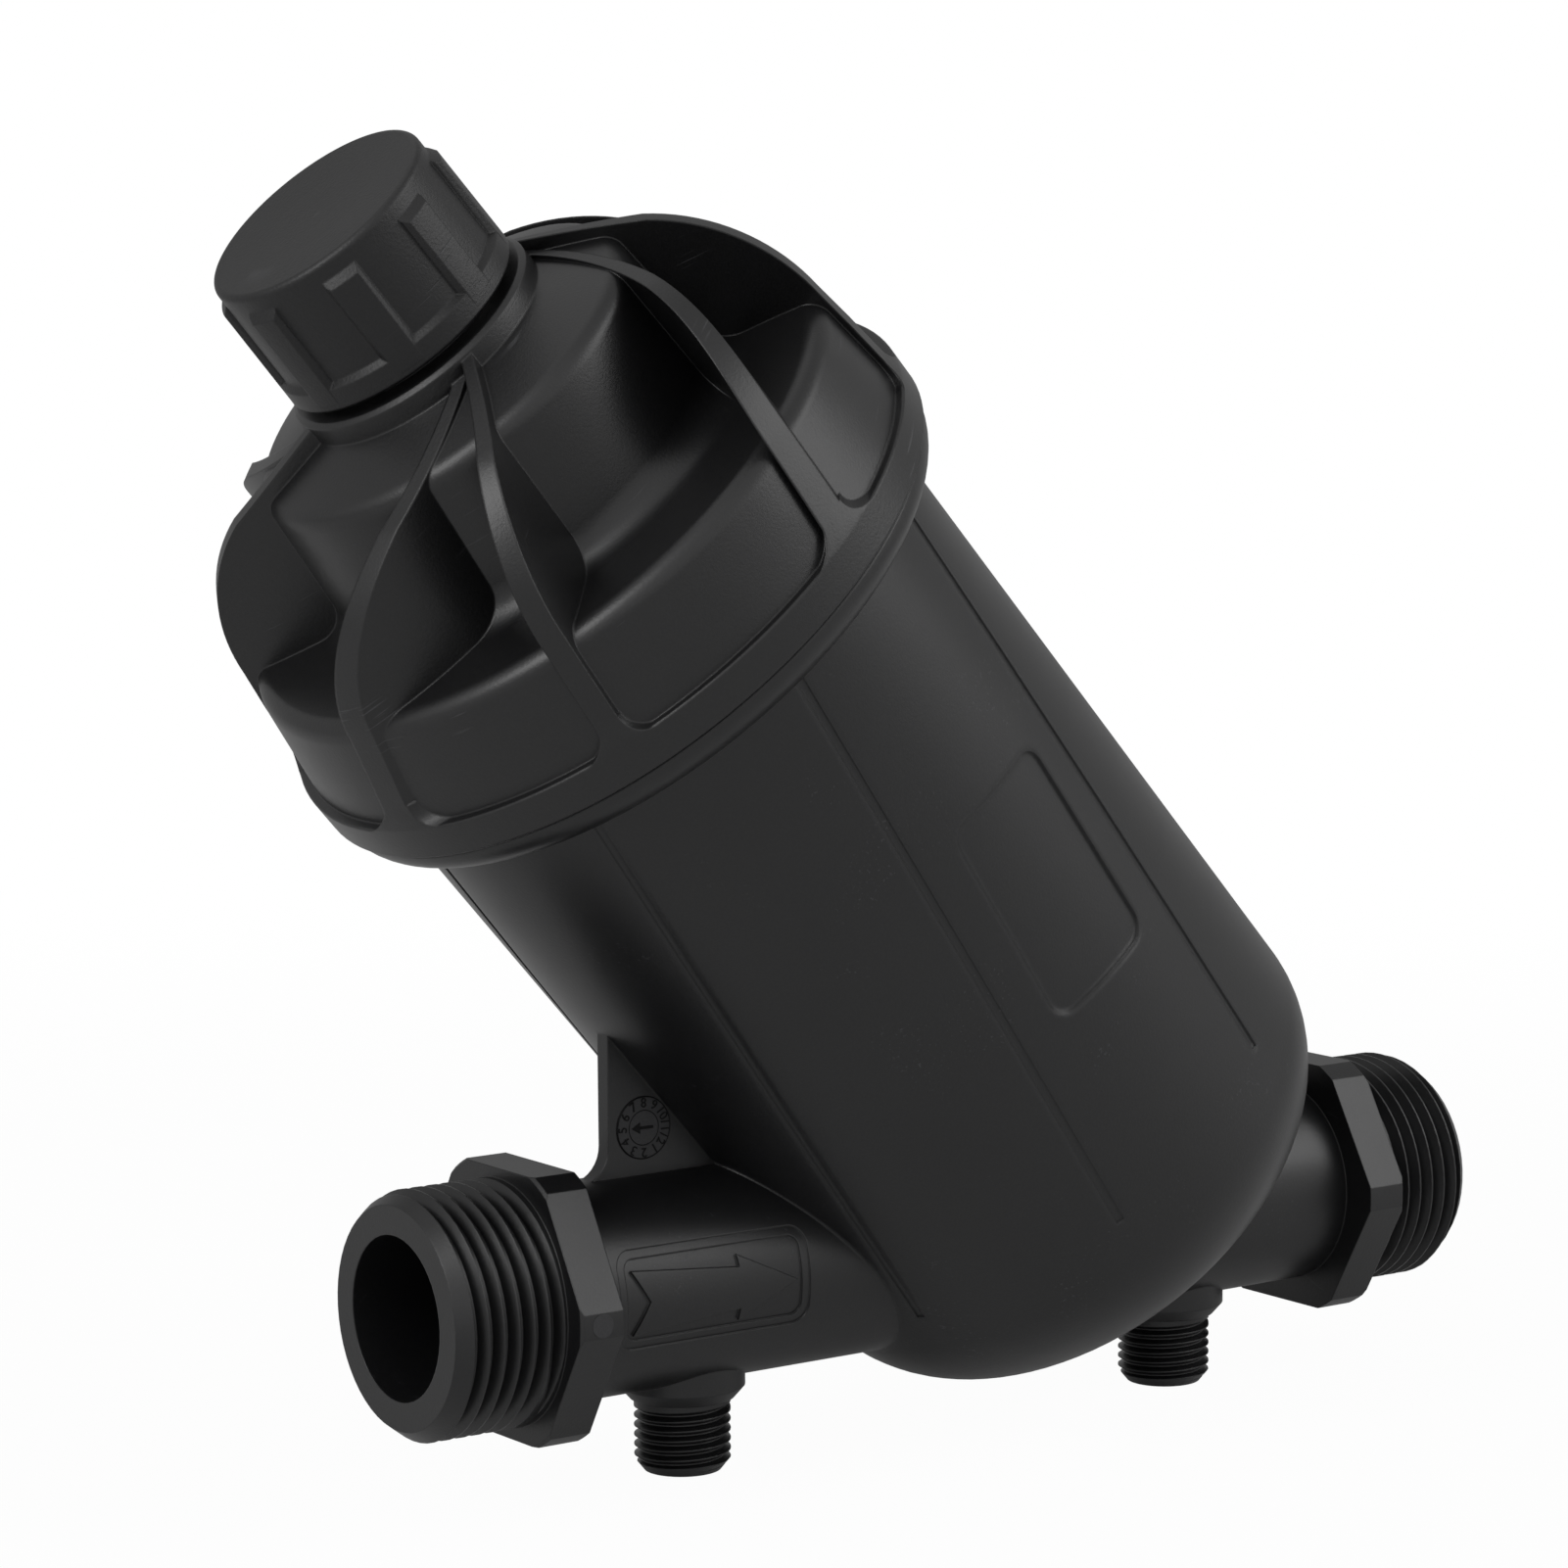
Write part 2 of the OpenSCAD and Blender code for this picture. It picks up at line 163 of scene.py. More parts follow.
# Studio: each lamp's place, width, height and power, then the floor, the world and the camera
LAMPS = {
    "key": ((0.64, -0.52, 0.57), 0.6, 0.6, 2.4),
    "overhead": ((-0.05, 0.35, 0.85), 0.6, 0.5, 0.3),
    "left_fill": ((-0.78, -0.12, 0.55), 0.4, 0.5, 3.0),
}
LAMP_AIM = Vector((0.05, 0, 0.07))
FLOOR_SIZE = 12.0
FLOOR_GAP = 0.2 * MM
FLOOR_GREY = (0.82, 0.82, 0.82, 1.0)
FLOOR_FADE = (0.25, 0.6)
FLOOR_WHITE = 0.97
FLOOR_MIRRORED = 0.12
WORLD_LEVEL = 0.3
WORLD_FRONT = (-0.5, -0.85, -0.1)
WORLD_FADE = (-0.6, 0.5)
BACK_MIRRORED = 0.12
FRONT_MIRRORED = 0.97
CAMERA_TARGET = Vector((46.52, 0, 65.32)) * MM
CAMERA_FRAME = 36.0
CAMERA_NEAREST = 0.01


class ThreadSizes(bpy.types.PropertyGroup):
    """Sizes of the cut threads."""
    end_pitch: bpy.props.FloatProperty(
        name="End pitch", description="Pitch of the pipe end threads", default=2.309 * MM, unit="LENGTH")
    end_radius: bpy.props.FloatProperty(
        name="End radius", description="Major radius of the pipe end threads",
        default=16.625 * MM, unit="LENGTH")
    end_depth: bpy.props.FloatProperty(
        name="End depth", description="Depth of the pipe end threads", default=1.45 * MM, unit="LENGTH")
    end_share: bpy.props.FloatProperty(
        name="End share", description="Share of the pitch that an end groove takes", default=0.88)
    end_tip: bpy.props.FloatProperty(
        name="End tip", description="Width of the end grooves' floor", default=0.28 * MM, unit="LENGTH")
    end_gap: bpy.props.FloatProperty(
        name="End gap", description="Distance of the last cut from the hexagon",
        default=1.18 * MM, unit="LENGTH")
    end_turns: bpy.props.FloatProperty(
        name="End turns", description="Turns of the pipe end threads", default=5.9)
    port_pitch: bpy.props.FloatProperty(
        name="Port pitch", description="Pitch of the gauge port threads",
        default=1.337 * MM, unit="LENGTH")
    port_radius: bpy.props.FloatProperty(
        name="Port radius", description="Major radius of the gauge port threads",
        default=6.5785 * MM, unit="LENGTH")
    port_depth: bpy.props.FloatProperty(
        name="Port depth", description="Depth of the gauge port threads", default=0.8 * MM, unit="LENGTH")
    port_share: bpy.props.FloatProperty(
        name="Port share", description="Share of the pitch that a port groove takes", default=0.84)
    port_tip: bpy.props.FloatProperty(
        name="Port tip", description="Width of the port grooves' floor", default=0.18 * MM, unit="LENGTH")
    port_start: bpy.props.FloatProperty(
        name="Port start", description="Distance from the port's end out to the first cut",
        default=0.4 * MM, unit="LENGTH")
    port_turns: bpy.props.FloatProperty(
        name="Port turns", description="Turns of the gauge port threads", default=7.0)


class DialSizes(bpy.types.PropertyGroup):
    """Sizes and place of the month dial on the web, and size of the ejector mark."""
    x: bpy.props.FloatProperty(
        name="X", description="Place along the pipe", default=22.2 * MM, unit="LENGTH")
    z: bpy.props.FloatProperty(
        name="Z", description="Height over the pipe axis", default=21.0 * MM, unit="LENGTH")
    web: bpy.props.FloatProperty(
        name="Web", description="Thickness of the web", default=2.4 * MM, unit="LENGTH")
    radius: bpy.props.FloatProperty(
        name="Radius", description="Radius of the rim", default=4.2 * MM, unit="LENGTH")
    figure: bpy.props.FloatProperty(
        name="Figures", description="Height of the figures", default=1.9 * MM, unit="LENGTH")
    line: bpy.props.FloatProperty(
        name="Line", description="Height of the raised lines", default=0.1 * MM, unit="LENGTH")
    ejector: bpy.props.FloatProperty(
        name="Ejector", description="Radius of the ejector mark", default=1.6 * MM, unit="LENGTH")


class MouldedColours(bpy.types.PropertyGroup):
    """Colours of the moulded pieces."""
    body: bpy.props.FloatVectorProperty(
        name="Body", description="Black of the body moulding",
        default=(0.0055, 0.0055, 0.0060), subtype="COLOR")
    cover: bpy.props.FloatVectorProperty(
        name="Cover", description="Black of the cover and cap",
        default=(0.0060, 0.0060, 0.0064), subtype="COLOR")
    seal: bpy.props.FloatVectorProperty(
        name="Seals", description="Soft black of the seals", default=(0.012, 0.012, 0.012), subtype="COLOR")
    core: bpy.props.FloatVectorProperty(
        name="Core", description="Grey of the cartridge core", default=(0.045, 0.045, 0.05), subtype="COLOR")
    rings: bpy.props.FloatVectorProperty(
        name="Rings", description="Red of the filter rings", default=(0.36, 0.030, 0.022), subtype="COLOR")


class StudioView(bpy.types.PropertyGroup):
    """Camera of the studio."""
    azimuth: bpy.props.FloatProperty(
        name="Azimuth", description="Side from which the filter is seen",
        default=radians(-35.22), subtype="ANGLE")
    elevation: bpy.props.FloatProperty(
        name="Elevation", description="Height from which the filter is seen",
        default=radians(6.89), subtype="ANGLE")
    roll: bpy.props.FloatProperty(
        name="Roll", description="Turn about the view", default=radians(-0.45), subtype="ANGLE")
    distance: bpy.props.FloatProperty(
        name="Distance", description="Distance from the aim point", default=679.6 * MM, unit="LENGTH")
    lens: bpy.props.FloatProperty(
        name="Lens", description="Focal length on a 36 mm frame", default=115.02)


class Value:
    """A shader number that takes part in sums, so a finish reads as a formula."""

    def __init__(self, finish, socket):
        self.finish = finish
        self.socket = socket

    def _sum(self, operation, a, b):
        return self.finish.node("ShaderNodeMath", {"operation": operation}, {0: a, 1: b})

    def __add__(self, other):
        return self._sum("ADD", self, other)

    def __radd__(self, other):
        return self._sum("ADD", other, self)

    def __sub__(self, other):
        return self._sum("SUBTRACT", self, other)

    def __rsub__(self, other):
        return self._sum("SUBTRACT", other, self)

    def __mul__(self, other):
        return self._sum("MULTIPLY", self, other)

    def __rmul__(self, other):
        return self._sum("MULTIPLY", other, self)

    def clipped(self):
        return self._sum("MINIMUM", self._sum("MAXIMUM", self, 0.0), 1.0)


class Nodes:
    """A node tree under construction."""

    def __init__(self, owner):
        owner.use_nodes = True
        self.tree = owner.node_tree

    def put(self, socket, value):
        if isinstance(value, Value):
            self.tree.links.new(value.socket, socket)
        else:
            socket.default_value = value

    def node(self, kind, settings=None, inputs=None, out=0):
        made = self.tree.nodes.new(kind)
        for key, value in (settings or {}).items():
            setattr(made, key, value)
        for key, value in (inputs or {}).items():
            self.put(made.inputs[key], value)
        return Value(self, made.outputs[out])

    def noise(self, vector, scale, detail=2.0, rough=0.5):
        return self.node("ShaderNodeTexNoise", {},
                         {"Vector": vector, "Scale": scale, "Detail": detail, "Roughness": rough})

    def ramp(self, value, low, high):
        """0 below low and 1 above high, smooth between."""
        return self.node("ShaderNodeMapRange", {"interpolation_type": "SMOOTHSTEP"},
                         {"Value": value, "From Min": low, "From Max": high})

    def mix(self, factor, a, b):
        return self.node("ShaderNodeMix", {"data_type": "RGBA"}, {0: factor, 6: a, 7: b}, out=2)

    def bump(self, strength, distance, **sockets):
        return self.node("ShaderNodeBump", {}, {"Strength": strength, "Distance": distance, **sockets})

    def backdrop(self, plain, kind, near, mirrored, output):
        """Shows white to the camera, and in part to reflections, in front of a plain surface."""
        ray = self.tree.nodes.new("ShaderNodeLightPath").outputs
        camera = Value(self, ray["Is Camera Ray"])
        gloss = Value(self, ray["Is Glossy Ray"])
        glass = Value(self, ray["Is Transmission Ray"])
        seen = (camera * near + gloss * mirrored + glass).clipped()
        white = self.node(kind, {}, {"Color": (1, 1, 1, 1), "Strength": 1.0})
        self.put(self.tree.nodes[output].inputs["Surface"],
                 self.node("ShaderNodeMixShader", {}, {0: seen, 1: plain, 2: white}))


class Finish(Nodes):
    """One material under construction."""

    def __init__(self, name):
        self.material = bpy.data.materials.new(name)
        super().__init__(self.material)
        self.shader = self.tree.nodes["Principled BSDF"]

    def set(self, **sockets):
        for key, value in sockets.items():
            self.put(self.shader.inputs[key.replace("_", " ")], value)

    def place(self):
        """Object coordinates."""
        return self.node("ShaderNodeTexCoord", out=3)


def rgba(colour, scale=1.0):
    return (colour[0] * scale, colour[1] * scale, colour[2] * scale, 1.0)


def moulded(name, colour, roughness, grain, edge, scuff=0.5, shine=0.5, lay=BODY_LAY, stretch=BODY_STRETCH):
    """Black moulded plastic: fine spark grain, cloudy gloss, softened edges and scuffs along their lay."""
    f = Finish(name)
    place = f.place()
    cloud = f.noise(place, CLOUD_SCALE, 3.0)
    speck = f.noise(place, SPECK_SCALE, 2.0, 0.6)
    turned = f.node("ShaderNodeMapping", {"vector_type": "TEXTURE"},
                    {"Vector": place, "Rotation": lay, "Scale": stretch})
    hair = f.noise(turned, HAIR_SCALE)
    patch = f.ramp(f.noise(place, PATCH_SCALE), *PATCH_FADE)
    scuffs = f.ramp(hair, *HAIR_FADE) * patch * scuff
    pale = f.ramp(speck, *SPECK_FADE) * 0.35 + cloud * 0.5 + scuffs * 1.2
    plain = f.mix(pale.clipped(), rgba(colour, DARK), rgba(colour, PALE))
    f.set(Base_Color=f.mix(scuffs.clipped(), plain, rgba(colour, SCUFFED)))
    f.set(Roughness=(roughness - 0.06 + cloud * 0.12 + scuffs * 0.12).clipped())
    f.set(IOR=1.5, Specular_IOR_Level=shine)
    soft = f.node("ShaderNodeBevel", {"samples": 6}, {"Radius": edge})
    height = speck * 0.7 + cloud * 0.3 - scuffs * 0.8
    f.set(Normal=f.bump(grain, GRAIN_HEIGHT, Height=height, Normal=soft))
    return f.material


def rubber(name, colour):
    """Soft black rubber with a faint bloom."""
    f = Finish(name)
    place = f.place()
    bloom = f.noise(place, BLOOM_SCALE, 4.0)
    f.set(Base_Color=f.mix(bloom, rgba(colour, 0.8), rgba(colour, 1.6)))
    f.set(Roughness=0.6 + bloom * 0.2)
    f.set(Normal=f.bump(0.2, RUBBER_HEIGHT, Height=f.noise(place, RUBBER_SCALE)))
    return f.material


def alone(obj):
    """Makes obj the only selected and the active object."""
    if bpy.context.mode != "OBJECT":
        bpy.ops.object.mode_set(mode="OBJECT")
    bpy.ops.object.select_all(action="DESELECT")
    obj.select_set(True)
    bpy.context.view_layer.objects.active = obj
    return obj


def settle(obj, matrix=None):
    """Puts an object's place into its mesh."""
    alone(obj)
    if matrix is not None:
        obj.matrix_world = matrix @ obj.matrix_world
        bpy.context.view_layer.update()
    bpy.ops.object.transform_apply(location=True, rotation=True, scale=True)
    return obj


def apply_modifier(obj, kind, **settings):
    modifier = obj.modifiers.new(kind.title(), kind)
    for key, value in settings.items():
        setattr(modifier, key, value)
    alone(obj)
    bpy.ops.object.modifier_apply(modifier=modifier.name)
    return obj


def edit(obj):
    alone(obj)
    bpy.ops.object.mode_set(mode="EDIT")


def done():
    bpy.ops.object.mode_set(mode="OBJECT")


def pick(obj, test):
    """Selects the vertices that pass the test, in edit mode."""
    bpy.ops.mesh.select_mode(type="VERT")
    bpy.ops.mesh.select_all(action="DESELECT")
    done()
    for vertex in obj.data.vertices:
        vertex.select = test(vertex)
    bpy.ops.object.mode_set(mode="EDIT")


def assign(obj, slot):
    """Gives the selected faces one of the object's materials, in edit mode."""
    obj.active_material_index = slot
    bpy.ops.object.material_slot_assign()


def swept(name, radius, width, depth, tip, turns, pitch, steps):
    """Closed helical cutter about +Z: wide outside, narrow at its inner tip, with steps per turn."""
    tall = depth + PROUD
    wide = width * tall / depth
    bpy.ops.object.select_all(action="DESELECT")
    bpy.ops.mesh.primitive_plane_add(size=1.0, location=(radius + (PROUD - depth) / 2, 0, 0),
                                     rotation=(pi / 2, 0, 0))
    cutter = bpy.context.object
    cutter.name = name
    cutter.scale = (tall, wide, 1)
    settle(cutter)
    edit(cutter)
    bpy.ops.mesh.delete(type="ONLY_FACE")
    pick(cutter, lambda vertex: vertex.co.x < radius)
    bpy.ops.transform.resize(value=(1, 1, tip / wide))
    done()
    parts = round(steps * turns)
    apply_modifier(cutter, "SCREW", axis="Z", angle=turns * tau, screw_offset=turns * pitch, iterations=1,
                   steps=parts, render_steps=parts, use_merge_vertices=False)
    edit(cutter)
    bpy.ops.mesh.select_all(action="SELECT")
    bpy.ops.mesh.remove_doubles(threshold=CUTTER_WELD)
    bpy.ops.mesh.fill_holes(sides=SECTION_POINTS)
    bpy.ops.mesh.select_all(action="SELECT")
    bpy.ops.mesh.normals_make_consistent(inside=False)
    points = SECTION_POINTS * (parts + 1)
    for ring in range(1, RUN_OUT + 1):
        reach = SECTION_POINTS * ring
        lift_rings(cutter, range(reach), depth / radius)
        lift_rings(cutter, range(points - reach, points), depth / radius)
    done()
    return cutter


def lift_rings(cutter, chosen, share):
    """Moves end rings of a helical cutter outwards a little, so that its groove runs out."""
    pick(cutter, lambda vertex: vertex.index in chosen)
    grown = 1 + RUN_OUT_LIFT * share / RUN_OUT
    bpy.ops.transform.resize(value=(grown, grown, 1), center_override=(0, 0, 0))


def joined(objects, name):
    alone(objects[0])
    for obj in objects:
        obj.select_set(True)
    bpy.ops.object.join()
    objects[0].name = name
    return objects[0]


def merged_copy(node, name):
    """A welded copy of a CAD node's mesh as a new piece."""
    source = NODES[node]
    piece = bpy.data.objects.new(name, source.data.copy())
    bpy.context.scene.collection.objects.link(piece)
    edit(piece)
    bpy.ops.mesh.select_all(action="SELECT")
    bpy.ops.mesh.remove_doubles(threshold=WELD)
    done()
    piece.data.materials.clear()
    return piece


def even_normals(mesh):
    """Corner normals, averaged by area over the neighbours that face nearly the same way."""
    facing = [face.normal.copy() for face in mesh.polygons]
    area = [face.area for face in mesh.polygons]
    around = [[] for vertex in mesh.vertices]
    for face in mesh.polygons:
        for vertex in face.vertices:
            around[vertex].append(face.index)
    normals = [Vector()] * len(mesh.loops)
    for face in mesh.polygons:
        own = facing[face.index]
        for loop, vertex in zip(face.loop_indices, face.vertices):
            near = [n for n in around[vertex] if facing[n].dot(own) > SMOOTH_UNDER]
            normals[loop] = sum((facing[n] * area[n] for n in near), own * TINY_AREA).normalized()
    return normals


def spoke(place, origin, axis):
    """The arm from an axis to a place, square to the axis."""
    arm = place - origin
    return arm - axis * arm.dot(axis)


def true_rounds(piece, axes):
    """Shades a piece evenly and gives the round walls about the axes their exact normals."""
    alone(piece)
    bpy.ops.object.shade_smooth()
    mesh = piece.data
    normals = even_normals(mesh)
    for face in mesh.polygons:
        for origin, axis in axes:
            spokes = [spoke(mesh.vertices[vertex].co, origin, axis) for vertex in face.vertices]
            reach = [arm.length for arm in spokes]
            outward = face.normal.dot(spokes[0].normalized())
            if max(reach) - min(reach) < ROUND_SLACK and abs(outward) > ROUND_FACING:
                side = 1.0 if outward > 0 else -1.0
                for loop, arm in zip(face.loop_indices, spokes):
                    normals[loop] = arm.normalized() * side
                break
    mesh.normals_split_custom_set(normals)


class FILTER_OT_body(bpy.types.Operator):
    """Body moulding with cut threads on the pipe ends and gauge ports"""
    bl_idname = "disc_filter.body"
    bl_label = "Body with threads"

    def execute(self, context):
        sizes = context.scene.filter_threads
        body = merged_copy("housing", "body_moulding")
        cutter = joined(self.end_cutters(sizes) + self.port_cutters(sizes), "cutters")
        for finish in self.finishes(context.scene.filter_colours.body):
            body.data.materials.append(finish)
            cutter.data.materials.append(finish)
        edit(cutter)
        bpy.ops.mesh.select_all(action="SELECT")
        assign(cutter, THREAD_SLOT)
        done()
        apply_modifier(body, "BOOLEAN", operation="DIFFERENCE", solver="EXACT", object=cutter)
        bpy.data.objects.remove(cutter)
        edit(body)
        pick(body, self.on_wall)
        bpy.ops.mesh.select_mode(type="FACE")
        assign(body, WALL_SLOT)
        done()
        rounds = [(Vector(), PIPE_AXIS), (CROSSING, VESSEL_AXIS)]
        true_rounds(body, rounds + [(port, PORT_AXIS) for port in PORTS])
        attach(body, "housing")
        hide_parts("housing")
        return {"FINISHED"}

    def finishes(self, colour):
        """The plain body, its threads, and the vessel's wall with soft creases, in slot order."""
        return (moulded("moulded_body", colour, roughness=0.36, grain=0.20, edge=0.28 * MM),
                moulded("cut_thread", colour, roughness=0.33, grain=0.10, edge=0.10 * MM),
                moulded("vessel_wall", colour, roughness=0.36, grain=0.20, edge=1.3 * MM))

    def end_cutters(self, sizes):
        cutters = []
        first = MOUNTS["inlet_thread"].x - sizes.end_gap - sizes.end_turns * sizes.end_pitch
        start = Matrix.Translation((first, 0, 0)) @ Matrix.Rotation(pi / 2, 4, "Y")
        for turn in (Matrix(), OUTLET_TURN):
            groove = swept("end_groove", sizes.end_radius, sizes.end_pitch * sizes.end_share,
                           sizes.end_depth, sizes.end_tip, sizes.end_turns, sizes.end_pitch, END_STEPS)
            cutters.append(settle(groove, turn @ start))
        return cutters

    def port_cutters(self, sizes):
        cutters = []
        for port in PORTS:
            groove = swept("port_groove", sizes.port_radius, sizes.port_pitch * sizes.port_share,
                           sizes.port_depth, sizes.port_tip, sizes.port_turns, sizes.port_pitch, PORT_STEPS)
            cutters.append(settle(groove, Matrix.Translation((port.x, 0, PORT_END - sizes.port_start))))
        return cutters

    def on_wall(self, vertex):
        """Tells whether a vertex is on the outside of the vessel wall."""
        return VESSEL_WALL[0] < spoke(vertex.co, CROSSING, VESSEL_AXIS).length < VESSEL_WALL[1]


class FILTER_OT_cover(bpy.types.Operator):
    """Screw cover with even shading over its fins and bell"""
    bl_idname = "disc_filter.cover"
    bl_label = "Cover"

    def execute(self, context):
        cover = merged_copy("cover", "cover_moulding")
        colour = context.scene.filter_colours.cover
        finish = moulded("moulded_cover", colour, roughness=0.36, grain=0.30, edge=0.4 * MM, scuff=0.9,
                         lay=ROUND_LAY, stretch=ROUND_STRETCH)
        cover.data.materials.append(finish)
        true_rounds(cover, [(CROSSING, VESSEL_AXIS)])
        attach(cover, "cover")
        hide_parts("cover")
        return {"FINISHED"}


class FILTER_OT_marks(bpy.types.Operator):
    """Mould marks on the body: a month dial on the gusset web and an ejector disc on the inlet hexagon, with
    painted light on the dial plate and ejector disc and painted shade on the figures and arrow
    """
    bl_idname = "disc_filter.marks"
    bl_label = "Mould marks"

    def execute(self, context):
        sizes = context.scene.filter_dial
        black = context.scene.filter_colours.body
        upright = Matrix.Rotation(pi / 2, 4, "X")
        on_web = Matrix.Translation((sizes.x, -sizes.web / 2, sizes.z)) @ upright
        plate = settle(self.disc("dial_plate", sizes.radius, sizes.line), on_web)
        parts = [self.rim(sizes.radius, sizes.line),
                 self.rim(sizes.radius * INNER_RIM, sizes.line * INNER_LINE)]
        for month in range(1, 13):
            parts.append(self.figure(str(month), sizes, pi / 2 - tau * (month - MONTH_ON_TOP) / 12))
        parts.append(self.arrow(sizes))
        figures = settle(joined(parts, "dial_figures"), on_web)
        ejector = settle(self.disc("ejector_mark", sizes.ejector, sizes.line * EJECTOR_LINE),
                         Matrix.Translation(EJECTOR_PLACE) @ upright)
        # The dial plate and ejector disc get a paler copy of the body's black as painted light, and the figures
        # and arrow a darker copy as painted shade
        pale = moulded("painted_light_mark", rgba(black, PAINTED_LIGHT_MARK), roughness=0.5, grain=0.3, edge=0.1 * MM)
        dark = moulded("painted_shade_mark", rgba(black, PAINTED_SHADE_MARK), roughness=0.5, grain=0.1, edge=0.05 * MM,
                       shine=0.15)
        for piece, finish in ((plate, pale), (figures, dark), (ejector, pale)):
            piece.data.materials.clear()
            piece.data.materials.append(finish)
            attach(piece, "housing")
        return {"FINISHED"}

    def disc(self, name, radius, height):
        bpy.ops.object.select_all(action="DESELECT")
        bpy.ops.mesh.primitive_cylinder_add(vertices=ROUND_SIDES, radius=radius, depth=2 * height)
        disc = bpy.context.object
        disc.name = name
        return settle(apply_modifier(disc, "BEVEL", width=height * MARK_BEVEL, segments=2))

    def rim(self, radius, line):
        bpy.ops.object.select_all(action="DESELECT")
        bpy.ops.mesh.primitive_torus_add(major_radius=radius, minor_radius=line, major_segments=ROUND_SIDES,
                                         minor_segments=8, location=(0, 0, line))
        return settle(bpy.context.object)

    def figure(self, word, sizes, angle):
        bpy.ops.object.select_all(action="DESELECT")
        bpy.ops.object.text_add()
        figure = bpy.context.object
        figure.data.body = word
        figure.data.size = sizes.figure
        figure.data.align_x = "CENTER"
        figure.data.align_y = "CENTER"
        figure.data.extrude = 2 * sizes.line
        figure.data.resolution_u = 3
        alone(figure)
        bpy.ops.object.convert(target="MESH")
        outward = Matrix.Rotation(angle, 4, "Z") @ Matrix.Translation((sizes.radius * FIGURE_RING, 0, 0))
        return settle(figure, outward @ Matrix.Rotation(-pi / 2, 4, "Z"))

    def arrow(self, sizes):
        reach = sizes.radius * ARROW_REACH
        thick = sizes.line * ARROW_LINES
        bpy.ops.object.select_all(action="DESELECT")
        bpy.ops.mesh.primitive_cube_add(size=1.0, location=(reach * SHAFT_PLACE, 0, 0))
        shaft = bpy.context.object
        shaft.scale = (reach * SHAFT_LENGTH, thick, thick)
        settle(shaft)
        bpy.ops.object.select_all(action="DESELECT")
        bpy.ops.mesh.primitive_cylinder_add(vertices=3, radius=reach * HEAD_RADIUS, depth=thick,
                                            location=(-reach * HEAD_PLACE, 0, 0), rotation=(0, 0, pi / 2))
        head = settle(bpy.context.object)
        arrow = joined([shaft, head], "dial_arrow")
        return apply_modifier(arrow, "BEVEL", width=sizes.line * MARK_BEVEL, segments=2)


class FILTER_OT_finishes(bpy.types.Operator):
    """Moulded, rubber and ring finishes on the pieces that keep their shape"""
    bl_idname = "disc_filter.finishes"
    bl_label = "Finishes"

    def execute(self, context):
        colours = context.scene.filter_colours
        cap = moulded("moulded_cap", colours.cover, roughness=0.42, grain=0.60, edge=0.4 * MM, shine=0.42,
                      lay=ROUND_LAY, stretch=ROUND_STRETCH)
        seal = rubber("seal_rubber", colours.seal)
        core = moulded("moulded_core", colours.core, roughness=0.45, grain=0.15, edge=0.3 * MM)
        ring = moulded("moulded_ring", colours.rings, roughness=0.4, grain=0.3, edge=0.1 * MM)
        chosen = {"flush_cap": cap, "cover_seal": seal, "cap_gasket": seal, "spine_seal": seal,
                  "spine": core, "clamp_plate": core, "lock_nut": core}
        for name, obj in NODES.items():
            if name in ("housing", "cover"):
                continue
            obj.material_slots[0].material = chosen.get(name, ring)
        return {"FINISHED"}


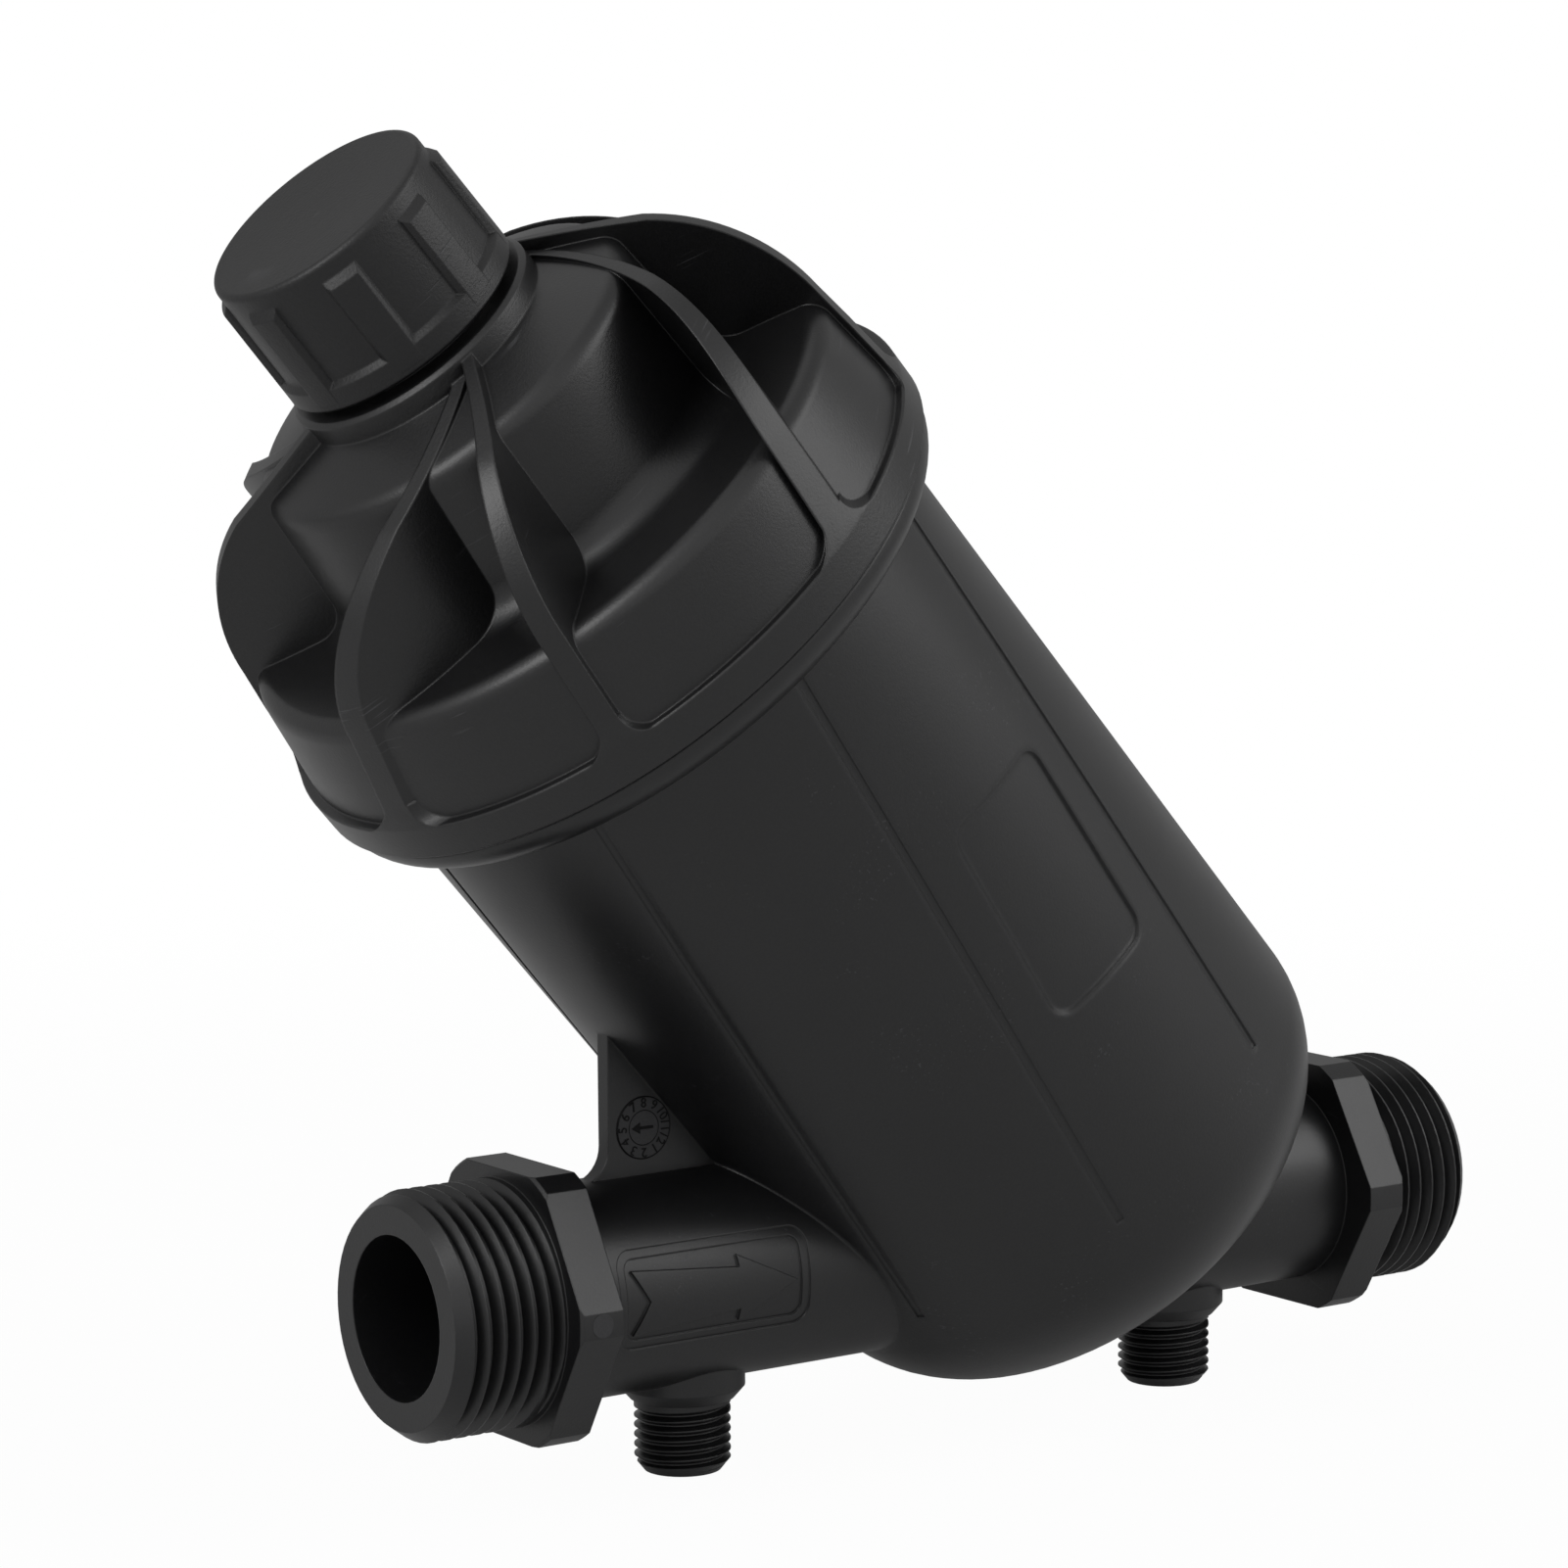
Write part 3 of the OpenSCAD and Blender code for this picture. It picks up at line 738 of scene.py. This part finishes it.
class FILTER_OT_stage(bpy.types.Operator):
    """White floor and world, soft studio lamps and the camera"""
    bl_idname = "disc_filter.stage"
    bl_label = "Studio"

    def execute(self, context):
        self.floor()
        self.world(context)
        for name, settings in LAMPS.items():
            self.lamp(name, *settings)
        self.camera(context)
        context.scene.view_settings.view_transform = "Standard"
        return {"FINISHED"}

    def camera(self, context):
        view = context.scene.filter_view
        level = cos(view.elevation)
        back = Vector((sin(view.azimuth) * level, -cos(view.azimuth) * level, sin(view.elevation)))
        right = Vector((cos(view.azimuth), sin(view.azimuth), 0))
        up = back.cross(right)
        across = cos(view.roll) * right + sin(view.roll) * up
        upward = cos(view.roll) * up - sin(view.roll) * right
        turn = Matrix((across, upward, back)).transposed().to_4x4()
        bpy.ops.object.select_all(action="DESELECT")
        bpy.ops.object.camera_add()
        camera = context.object
        camera.name = "studio_camera"
        camera.matrix_world = Matrix.Translation(CAMERA_TARGET + back * view.distance) @ turn
        camera.data.sensor_width = CAMERA_FRAME
        camera.data.lens = view.lens
        camera.data.clip_start = CAMERA_NEAREST
        context.scene.camera = camera

    def floor(self):
        bpy.ops.object.select_all(action="DESELECT")
        bpy.ops.mesh.primitive_plane_add(size=FLOOR_SIZE, location=(0, 0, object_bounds()[0][2] - FLOOR_GAP))
        floor = bpy.context.object
        floor.name = "studio_floor"
        settle(floor)
        f = Finish("pale_floor")
        f.set(Base_Color=FLOOR_GREY, Roughness=0.9)
        away = f.node("ShaderNodeVectorMath", {"operation": "LENGTH"}, {0: f.place()}, out=1)
        near = FLOOR_WHITE + f.ramp(away, *FLOOR_FADE) * (1 - FLOOR_WHITE)
        plain = Value(f, f.shader.outputs[0])
        f.backdrop(plain, "ShaderNodeEmission", near, FLOOR_MIRRORED, "Material Output")
        floor.data.materials.append(f.material)
        floor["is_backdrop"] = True

    def world(self, context):
        """Plain white light; reflections see the front half brighter than the back."""
        world = bpy.data.worlds.new("white_studio")
        context.scene.world = world
        w = Nodes(world)
        plain = w.tree.nodes["Background"]
        plain.inputs["Color"].default_value = (1, 1, 1, 1)
        plain.inputs["Strength"].default_value = WORLD_LEVEL
        forward = w.node("ShaderNodeVectorMath", {"operation": "DOT_PRODUCT"},
                         {0: w.node("ShaderNodeTexCoord"), 1: WORLD_FRONT}, out=1)
        mirrored = BACK_MIRRORED + w.ramp(forward, *WORLD_FADE) * (FRONT_MIRRORED - BACK_MIRRORED)
        w.backdrop(Value(w, plain.outputs[0]), "ShaderNodeBackground", 1.0, mirrored, "World Output")

    def lamp(self, name, place, wide, high, power):
        turn = (LAMP_AIM - Vector(place)).to_track_quat("-Z", "Y").to_euler()
        bpy.ops.object.select_all(action="DESELECT")
        bpy.ops.object.light_add(type="AREA", location=place, rotation=turn)
        lamp = bpy.context.object
        lamp.name = name
        lamp.data.shape = "RECTANGLE"
        lamp.data.size = wide
        lamp.data.size_y = high
        lamp.data.energy = power


class FILTER_PT_panel(bpy.types.Panel):
    """Sizes, colours and steps of the disc filter"""
    bl_idname = "FILTER_PT_panel"
    bl_label = "Disc Filter"
    bl_space_type = "VIEW_3D"
    bl_region_type = "UI"
    bl_category = "Disc Filter"

    def draw(self, context):
        for name, group in GROUPS.items():
            for key in group.__annotations__:
                self.layout.prop(getattr(context.scene, name), key)
        for step in STEPS:
            self.layout.operator(step.bl_idname)


STEPS = (FILTER_OT_body, FILTER_OT_cover, FILTER_OT_marks, FILTER_OT_finishes, FILTER_OT_stage)
GROUPS = {
    "filter_threads": ThreadSizes,
    "filter_dial": DialSizes,
    "filter_colours": MouldedColours,
    "filter_view": StudioView,
}


def register():
    for group in GROUPS.values():
        bpy.utils.register_class(group)
    for step in STEPS:
        bpy.utils.register_class(step)
    bpy.utils.register_class(FILTER_PT_panel)
    for name, group in GROUPS.items():
        setattr(bpy.types.Scene, name, bpy.props.PointerProperty(type=group))


def unregister():
    for name in GROUPS:
        delattr(bpy.types.Scene, name)
    bpy.utils.unregister_class(FILTER_PT_panel)
    for cls in reversed(STEPS + tuple(GROUPS.values())):
        bpy.utils.unregister_class(cls)


def main():
    register()
    bpy.ops.disc_filter.body()
    bpy.ops.disc_filter.cover()
    bpy.ops.disc_filter.marks()
    bpy.ops.disc_filter.finishes()
    bpy.ops.disc_filter.stage()


if __name__ == "__main__":
    main()
